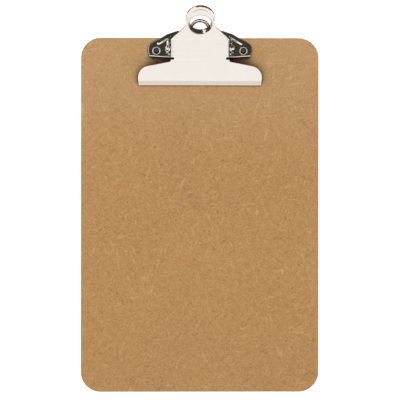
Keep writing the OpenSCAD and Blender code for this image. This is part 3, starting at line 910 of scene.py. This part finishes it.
def hardboard():
    """Mottled brown fibre panel with a darker, rougher cut edge."""
    brown, light_brown = (0.371, 0.190, 0.0655), (0.399, 0.208, 0.0725)
    dark_mottle, pale_grain = (0.335, 0.166, 0.054), (0.51, 0.302, 0.126)
    dark_fibre, pale_fibre = (0.215, 0.100, 0.034), (0.60, 0.385, 0.19)
    # the second colour on the next line is painted shade, laid where the clip stands over the panel
    speck_dark, painted_shade_dark = (0.14, 0.062, 0.024), (0.044, 0.014, 0.008)
    clip_end_fade, far_end_shade = (0.60, 0.40, 0.215), (0.28, 0.135, 0.045)
    edge_dark, edge_light = (0.165, 0.078, 0.030), (0.27, 0.138, 0.054)

    n = material("pressed_hardboard")
    fine = n.noise(scale=1100, detail=4, rough=0.65)
    mid = n.noise(scale=300, detail=3, rough=0.55, distort=0.4)
    wide = n.noise(scale=17, detail=2, rough=0.5, stretch=(1, 1, 0.3))
    col = n.mix(n.ramp(wide, over=(0.3, 0.7)), brown, light_brown)
    col = n.mix(n.ramp(mid, over=(0.36, 0.66), to=(0.0, 0.55)), col, dark_mottle)
    col = n.mix(n.ramp(fine, over=(0.40, 0.64), to=(0.0, 0.60)), col, pale_grain)
    # fibres: short streaks lying in many directions, each kind in its own patches
    for i, angle in enumerate((0.30, 0.95, 1.50, 2.10, 2.75)):
        turned = n.mapping(turn=(0, 0, angle))
        streak = n.noise(scale=560 + 70 * i, detail=2, rough=0.4, distort=0.5,
                         stretch=(1.0, 0.16, 1.0), source=turned)
        patch = n.noise(scale=95 + 12 * i, detail=1, rough=0.5, turn=(0, 0, angle * 3))
        amount = n.math("MULTIPLY", n.ramp(streak, over=(0.62, 0.70), to=(0.0, 0.30)),
                        n.ramp(patch, over=(0.46, 0.58)))
        col = n.mix(amount, col, dark_fibre if i % 2 else pale_fibre)
    # sparse dark specks
    cells = n.add("ShaderNodeTexVoronoi", {"Vector": n.mapping(), "Scale": 340})
    pick = n.noise(scale=150, detail=0, rough=0.5)
    speck = n.math("MULTIPLY", n.ramp(cells.outputs["Distance"], over=(0.10, 0.22), to=(1.0, 0.0)),
                   n.ramp(pick, over=(0.54, 0.62)))
    col = n.mix(n.math("MULTIPLY", speck, 0.6), col, speck_dark)
    # a shade lighter towards the clip end, darker towards the other
    y = n.split(n.coord)[1]
    col = n.mix(n.ramp(y, over=(0.02, 0.105), to=(0.0, 0.22)), col, clip_end_fade)
    col = n.mix(n.ramp(y, over=(-0.02, -0.115), to=(0.0, 0.10)), col, far_end_shade)
    # cut edge, layered through the thickness
    normal = n.add("ShaderNodeNewGeometry").outputs["Normal"]
    up = n.math("ABSOLUTE", n.split(normal)[2])
    edge = n.ramp(up, over=(0.35, 0.97), to=(1.0, 0.0))
    layers = n.noise(scale=700, detail=3, rough=0.6, stretch=(0.25, 0.25, 5.0))
    col = n.mix(edge, col, n.mix(n.ramp(layers, over=(0.35, 0.65)), edge_dark, edge_light))
    # painted shade: the panel is darkened where the clip stands close over it, an ambient occlusion
    # mask standing in for the shadow under the clip
    shade = n.add("ShaderNodeAmbientOcclusion", {"Distance": 0.011}, samples=16)
    painted_shade = n.math("MULTIPLY", n.ramp(shade.outputs["AO"], over=(0.90, 0.50)),
                   n.math("SUBTRACT", 1.0, edge))
    col = n.mix(painted_shade, col, painted_shade_dark)
    n.set(Base_Color=col, Roughness=n.ramp(mid, over=(0.3, 0.7), to=(0.46, 0.60)),
          Specular_IOR_Level=0.32)
    edge_relief = n.math("MULTIPLY", layers, n.math("MULTIPLY", edge, 2.0))
    height = n.math("ADD", n.math("MULTIPLY", fine, 0.5), edge_relief)
    n.bump(height, strength=0.30, distance_mm=0.12)
    return n.owner


def plated(name, colour, clouded, rough, spread, grain=(1, 1, 1), scratch=0.10,
           lip=False, bore=False):
    """Nickel plate: drawn grain, fine handling scratches, faint clouding; optionally painted shade on
    the jaw's lip and in a rivet's bore.
    """
    # the second and third colours on the next line are painted shade, for the jaw's lip and for a
    # rivet's bore
    scratch_grey, painted_lip_shade, painted_bore_shade = (0.55, 0.53, 0.50), (0.74, 0.655, 0.58), (0.075, 0.055, 0.042)
    n = material(name)
    cloud = n.noise(scale=90, detail=3, rough=0.55)
    drawn = n.noise(scale=800, detail=3, rough=0.6, stretch=grain)
    marks_a = n.noise(scale=1400, detail=2, rough=0.5, distort=0.1,
                      stretch=(1.0, 0.02, 0.3), turn=(0.1, 0.2, 0.7))
    marks_b = n.noise(scale=1500, detail=2, rough=0.5, distort=0.1,
                      stretch=(0.02, 1.0, 0.3), turn=(0.3, 0.1, 0.35))
    marks = n.math("MAXIMUM", n.ramp(marks_a, over=(0.66, 0.70)), n.ramp(marks_b, over=(0.67, 0.71)))
    col = n.mix(n.ramp(cloud, over=(0.3, 0.7)), colour, clouded)
    col = n.mix(n.math("MULTIPLY", marks, scratch), col, scratch_grey)
    if lip:  # painted shade: the jaw's lip is tinted darker and warmer, standing in for the shading at its steeper angle
        y = n.split(n.coord)[1]
        col = n.mix(n.ramp(y, over=(0.0861, 0.0853)), col, painted_lip_shade)
    if bore:  # painted shade: the rivet's blind bore is coloured dark, standing in for the shade and dark reflections inside the recess
        z = n.split(n.coord)[2]
        inner = n.math("MULTIPLY", n.ramp(z, over=(0.00425, 0.0041)),
                       n.ramp(z, over=(0.0010, 0.0012)))
        col = n.mix(inner, col, painted_bore_shade)
    roughness = n.math("ADD", n.ramp(drawn, over=(0.3, 0.7), to=(rough - spread, rough + spread)),
                       n.math("MULTIPLY", marks, scratch * 0.8))
    n.set(Base_Color=col, Metallic=1.0, Roughness=roughness)
    height = n.math("ADD", n.math("MULTIPLY", drawn, 0.6), n.math("MULTIPLY", marks, -0.5))
    n.bump(height, strength=0.01, distance_mm=0.03)
    return n.owner


def wire_steel():
    pale, dark = (0.40, 0.39, 0.37), (0.27, 0.255, 0.235)
    n = material("spring_wire_steel")
    cloud = n.noise(scale=300, detail=3, rough=0.6)
    drawn = n.noise(scale=1500, detail=2, rough=0.6, stretch=(0.2, 1, 1))
    n.set(Base_Color=n.mix(n.ramp(cloud, over=(0.3, 0.7)), pale, dark), Metallic=1.0,
          Roughness=n.ramp(drawn, over=(0.3, 0.7), to=(0.24, 0.42)))
    n.bump(drawn, strength=0.1, distance_mm=0.03)
    return n.owner


UNLIT = (0.050, 0.040, 0.030)        # the dark part of the room, as metal reflects it


def floor_paper():
    """White paper, lifted towards pure white where the camera sees it."""
    n = material("studio_floor")
    cloud = n.noise(scale=40, detail=3, rough=0.5)
    col = n.mix(n.ramp(cloud, over=(0.3, 0.7)), (0.93, 0.93, 0.93), (0.95, 0.95, 0.95))
    rays = n.add("ShaderNodeLightPath").outputs
    # painted reflection: a little way behind the clip the paper is coloured dark for glossy rays
    # only, so the metal reflects a dark studio there
    y = n.split(n.coord)[1]
    behind = n.math("MULTIPLY", n.ramp(y, over=(0.119, 0.127)), rays["Is Glossy Ray"])
    n.set(Base_Color=n.mix(behind, col, UNLIT), Roughness=0.9, Specular_IOR_Level=0.0,
          Emission_Color=(1.0, 1.0, 1.0),
          Emission_Strength=n.math("MULTIPLY", rays["Is Camera Ray"], 0.5))
    return n.owner


# ---------------------------------------------------------------- pieces
board = build_board()
base = build_base()
lever = build_lever()
pin = build_pin()
spring = build_spring()
rivet_left = build_rivet("rivet_left_rolled", -RIVET_X)
rivet_right = build_rivet("rivet_right_rolled", RIVET_X)

board_look = hardboard()
base_look = plated("base_bright_nickel", colour=(0.86, 0.84, 0.80), clouded=(0.80, 0.775, 0.73),
                   rough=0.09, spread=0.02, grain=(0.05, 1, 1))
lever_look = plated("lever_bright_nickel", colour=(0.895, 0.845, 0.800),
                    clouded=(0.88, 0.825, 0.775), rough=0.10, spread=0.02, grain=(0.04, 1, 1),
                    scratch=0.03, lip=True)
pin_look = plated("fastener_nickel", colour=(0.92, 0.90, 0.865), clouded=(0.86, 0.835, 0.79),
                  rough=0.16, spread=0.03)
rivet_look = plated("rivet_nickel", colour=(0.95, 0.94, 0.92), clouded=(0.90, 0.885, 0.86),
                    rough=0.20, spread=0.03, bore=True)

for obj, look, slot in ((board, board_look, "hardboard"), (base, base_look, "plated_base"),
                        (lever, lever_look, "plated_lever"), (pin, pin_look, "plated_pin"),
                        (rivet_left, rivet_look, "plated_rivet"),
                        (rivet_right, rivet_look, "plated_rivet"),
                        (spring, wire_steel(), "spring_wire")):
    obj.data.materials.append(look)

for obj, node, body in ((board, "board", "base"), (base, "base_plate", "base"),
                        (pin, "pivot_pin", "base"), (rivet_left, "rivet_left", "base"),
                        (rivet_right, "rivet_right", "base"), (lever, "clamp_lever", "lever")):
    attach(obj, body)
    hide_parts(node)
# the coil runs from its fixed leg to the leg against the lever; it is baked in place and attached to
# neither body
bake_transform(spring)
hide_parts("torsion_spring")

# ---------------------------------------------------------------- studio, m
bpy.ops.mesh.primitive_grid_add(x_subdivisions=4, y_subdivisions=4, size=6,
                                location=(0, 0, -0.0003))
floor = bpy.context.object
floor.name = "studio_floor"
floor.data.materials.append(floor_paper())


def build_world():
    """White all round; bright metal sees an unlit cone overhead and behind the clip."""
    white = (1.0, 0.995, 0.985)
    lift, turn = math.radians(40), math.radians(32)  # cone axis above +Y, turned to +X
    half_angle, softness = math.radians(57), 0.02
    axis = (math.cos(lift) * math.sin(turn), math.cos(lift) * math.cos(turn), math.sin(lift))
    scene.world = bpy.data.worlds.new("studio")
    n = Shader(scene.world, "ShaderNodeOutputWorld", "ShaderNodeBackground", "Generated")
    rays = n.add("ShaderNodeLightPath").outputs
    facing = n.add("ShaderNodeVectorMath", {0: n.coord, 1: axis}, operation="DOT_PRODUCT")
    cone = n.ramp(facing.outputs["Value"],
                  over=(math.cos(half_angle + softness), math.cos(half_angle - softness)))
    unlit = n.math("MULTIPLY", cone, rays["Is Glossy Ray"])
    n.set(Color=n.mix(unlit, white, UNLIT), Strength=1.0)


def area_light(name, width, length, energy, location):
    light = bpy.data.lights.new(name, "AREA")
    light.shape = "RECTANGLE"
    light.size, light.size_y = width, length
    light.energy = energy
    obj = bpy.data.objects.new(name, light)
    obj.location = location
    scene.collection.objects.link(obj)
    return obj


build_world()

# a soft panel overhead that only the lever and the fasteners see
panel_lit = bpy.data.collections.new("lit_by_panel")
for obj in (lever, pin, rivet_left, rivet_right):
    panel_lit.objects.link(obj)
panel = area_light("overhead_panel", width=3.60, length=0.52,
                   energy=0.95 * math.pi * 3.60 * 0.52, location=(1.45, 0.119, 1.55))
panel.light_linking.receiver_collection = panel_lit

key = area_light("overhead_soft", width=1.6, length=1.2, energy=6.0, location=(-0.5, -0.2, 1.5))
key_aim = Vector((0, 0.05, 0))
key.rotation_euler = (key_aim - Vector(key.location)).to_track_quat("-Z", "Y").to_euler()
key.visible_glossy = False

# ---------------------------------------------------------------- camera, m
CAMERA_H, CAMERA_SIDE = 1.2, 0.020   # above the board's face; towards -X of the aim
AIM_X, AIM_Y = 0.00014, 0.00953
VIEW_W = 0.2566                      # width seen at that height
camera = bpy.data.cameras.new("camera")
camera.sensor_fit = "HORIZONTAL"
camera.sensor_width = 36.0
camera.lens = 36.0 * CAMERA_H / VIEW_W
camera.clip_end = 20
camera_obj = bpy.data.objects.new("camera", camera)
camera_obj.location = (AIM_X - CAMERA_SIDE, AIM_Y, CAMERA_H + BOARD_T / 1000)
camera_obj.rotation_euler = (0, -math.atan2(CAMERA_SIDE, CAMERA_H), math.radians(0.04))
scene.collection.objects.link(camera_obj)
scene.camera = camera_obj
scene.view_settings.view_transform = "Standard"
